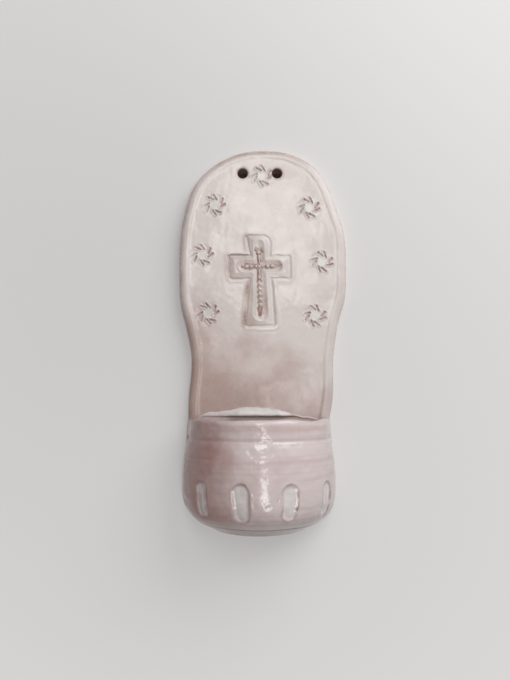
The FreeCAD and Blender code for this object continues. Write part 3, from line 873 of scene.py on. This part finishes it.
def tin_glaze(name, thick, thin_and_shaded, thinning_and_shade, gloss=0.27, banded=0.0, dimpled=0.2, coat=0.24):
    """Tin glaze over red earthenware: it breaks to brown on edges and pools white in hollows.

    thick and thin are its colours, and thinning is a direction and how far along it the colour
    goes from the first to the second: the glaze grows thinner that way, and the change also paints
    in the shade that falls there. The mesh's own attribute says where it is worn, pooled and missing;
    worn also paints shade into creases and hollows, and pooled also paints light in places.
    """
    surface = Surface(name)
    attribute = surface.node("ShaderNodeAttribute", attribute_name="glaze").outputs["Color"]
    parts = surface.node("ShaderNodeSeparateColor", {"Color": attribute}).outputs
    worn_and_shade, pooled_and_lit, bare = [parts[channel] for channel in ("Red", "Green", "Blue")]

    cloudy = surface.ramp(surface.noise(45, 5, 0.62), 0.30, 0.70, -0.22, 0.22)
    amount = surface.math("ADD", surface.along(*thinning_and_shade), cloudy)
    colour = surface.mix(surface.ramp(amount, 0.0, 1.0), thick, thin_and_shaded)
    if banded:
        bands = surface.noise(60, 3, 0.5, stretch=(0.12, 0.12, 7.0))
        colour = surface.mix(surface.ramp(bands, 0.46, 0.78, 0, banded), colour, band_glaze)
    specks = surface.ramp(surface.noise(900, 2, 0.5), 0.70, 0.76, 0, 0.30)
    colour = surface.mix(specks, colour, speck_glaze)
    colour = surface.mix(surface.math("MULTIPLY", pooled_and_lit, 0.75), colour, white_glaze_and_light)
    broken = surface.ramp(surface.noise(700, 3, 0.6), 0.25, 0.75, 0.65, 1.15)
    brown = surface.mix(surface.noise(400), *brown_glaze_and_shade)
    colour = surface.mix(surface.math("MULTIPLY", worn_and_shade, broken), colour, brown)
    clay = surface.mix(surface.ramp(surface.noise(160, 6, 0.65), 0.3, 0.7), *terracotta)
    colour = surface.mix(bare, colour, clay)

    uneven = surface.ramp(surface.noise(120, 4, 0.6), 0.3, 0.7, gloss - 0.06, gloss + 0.10)
    dry = surface.math("MAXIMUM", surface.math("MULTIPLY", bare, 0.85), uneven)
    skin = surface.bump(surface.noise(240, 3, 0.5), dimpled, 0.0005)
    skin = surface.bump(surface.noise(1300, 2, 0.5), 0.08, 0.0002, after=skin)
    surface.fill(surface.shader, {
        "Base Color": colour, "Roughness": dry, "IOR": 1.5, "Specular IOR Level": 0.38,
        "Coat Weight": coat, "Coat Roughness": 0.07, "Normal": skin, "Coat Normal": skin})
    return surface.material


# ---- camera, backdrop and light ------------------------------------------------------------------------
def camera():
    """The photograph's viewpoint: just above the level of the bowl's rim, and tilted up."""
    sensor, focal_pixels, frame_pixels, tilt = 36, 536, 680, 6.81
    data = bpy.data.cameras.new("camera")
    data.sensor_width = sensor
    data.lens = focal_pixels / frame_pixels * sensor
    made = bpy.data.objects.new("camera", data)
    made.location = (-0.0026, -0.2875, -0.12533)
    made.rotation_euler = (math.radians(90 + tilt), 0, 0)
    bpy.context.scene.collection.objects.link(made)
    bpy.context.scene.camera = made


def area_light(name, place, target, width, height, power, roll=0):
    data = bpy.data.lights.new(name, "AREA")
    data.shape = "RECTANGLE"
    data.size, data.size_y = width, height
    data.energy = power
    lamp = bpy.data.objects.new(name, data)
    lamp.location = place
    aim = (Vector(target) - Vector(place)).to_track_quat("-Z", "Y")
    lamp.rotation_euler = (aim @ Quaternion((0, 0, 1), math.radians(roll))).to_euler()
    bpy.context.scene.collection.objects.link(lamp)


def sees_background(nodes):
    """1 for camera, glossy and transmission rays, and 0 for the diffuse rays that light the object."""
    path = nodes.node("ShaderNodeLightPath").outputs
    either = nodes.math("MAXIMUM", path["Is Camera Ray"], path["Is Glossy Ray"])
    return nodes.math("MAXIMUM", either, path["Is Transmission Ray"])


def backdrop():
    """Pale wall that the plate hangs on, just inside the plate's back.

    It has a painted shadow behind the hanging holes, is evenly pale far from the plate, and is clear
    from behind, so that the back can be looked at too.
    """
    half, level = 6, -0.0005
    corners = [(-half, level, -half), (half, level, -half), (half, level, half), (-half, level, half)]
    mesh = bpy.data.meshes.new("backdrop")
    mesh.from_pydata(corners, [], [(0, 1, 2, 3)])
    made = bpy.data.objects.new("backdrop", mesh)
    bpy.context.scene.collection.objects.link(made)
    surface = Surface("backdrop")
    sees = sees_background(surface)
    far = surface.node("ShaderNodeVectorMath", {0: surface.place}, operation="LENGTH").outputs["Value"]
    # painted shadow on the wall behind the hanging holes, hidden behind the plate except through the holes
    hole_shadow_patch = surface.math("LESS_THAN", far, painted_hole_shadow_reach)
    colour = surface.mix(hole_shadow_patch, surface.mix(sees, wall_lit, wall_seen), painted_hole_shadow)
    surface.fill(surface.shader, {"Base Color": colour, "Roughness": 0.9})
    beyond = surface.ramp(far, glow_start, glow_end, 0.0, glow_share, "LINEAR")
    pale = surface.node("ShaderNodeEmission", {"Color": (*wall_glow, 1)}).outputs["Emission"]
    wall = surface.blend(surface.math("MULTIPLY", sees, beyond), surface.shader.outputs["BSDF"], pale)
    backfacing = surface.node("ShaderNodeNewGeometry").outputs["Backfacing"]
    clear = surface.node("ShaderNodeBsdfTransparent").outputs["BSDF"]
    surface.fill(surface.tree.nodes["Material Output"], {"Surface": surface.blend(backfacing, wall, clear)})
    made.data.materials.append(surface.material)


def light():
    world = bpy.data.worlds.new("studio")
    bpy.context.scene.world = world
    nodes = Nodes(world)
    strength = nodes.ramp(sees_background(nodes), 0, 1, world_lit, world_seen)
    nodes.fill(nodes.tree.nodes["Background"], {"Color": (*world_colour, 1), "Strength": strength})
    area_light("key", (0.42, -0.39, 0.44), (0, 0, -0.07), 0.6, 0.6, 4.1)
    area_light("window", (0.02, -0.75, 0.22), (0, 0, -0.04), 0.19, 0.33, 1.15)
    area_light("front_strip", (0.10, -0.75, -0.29), (0, 0, -0.15), 0.11, 0.45, 1.1, roll=13)
    area_light("back_fill", (0.2, 0.75, 0.35), (0, 0, -0.08), 0.6, 0.6, 4.2)


bpy.context.scene.view_settings.view_transform = "Standard"
# ways in which the glaze thins, also painting in the shade on the plate's lower part and on the left sides
# of the bowl and joint: a direction, and how far along it that starts and ends, in metres
downward = ((-0.35, 0, -1), 0.062, 0.14)
leftward = ((-1, 0, -0.25), 0.024, 0.078)
back_plate(tin_glaze("plate_glaze", (0.725, 0.65, 0.615), (0.465, 0.338, 0.305), downward))
bowl(tin_glaze("bowl_glaze", (0.68, 0.59, 0.58), (0.40, 0.222, 0.20), leftward,
               gloss=0.17, banded=0.45, dimpled=0.35, coat=0.44))
seam_coil(tin_glaze("coil_glaze", (0.70, 0.62, 0.60), (0.56, 0.44, 0.41), leftward))
back_lip(tin_glaze("lip_glaze", (0.60, 0.49, 0.47), (0.58, 0.47, 0.46), leftward))
camera()
backdrop()
light()
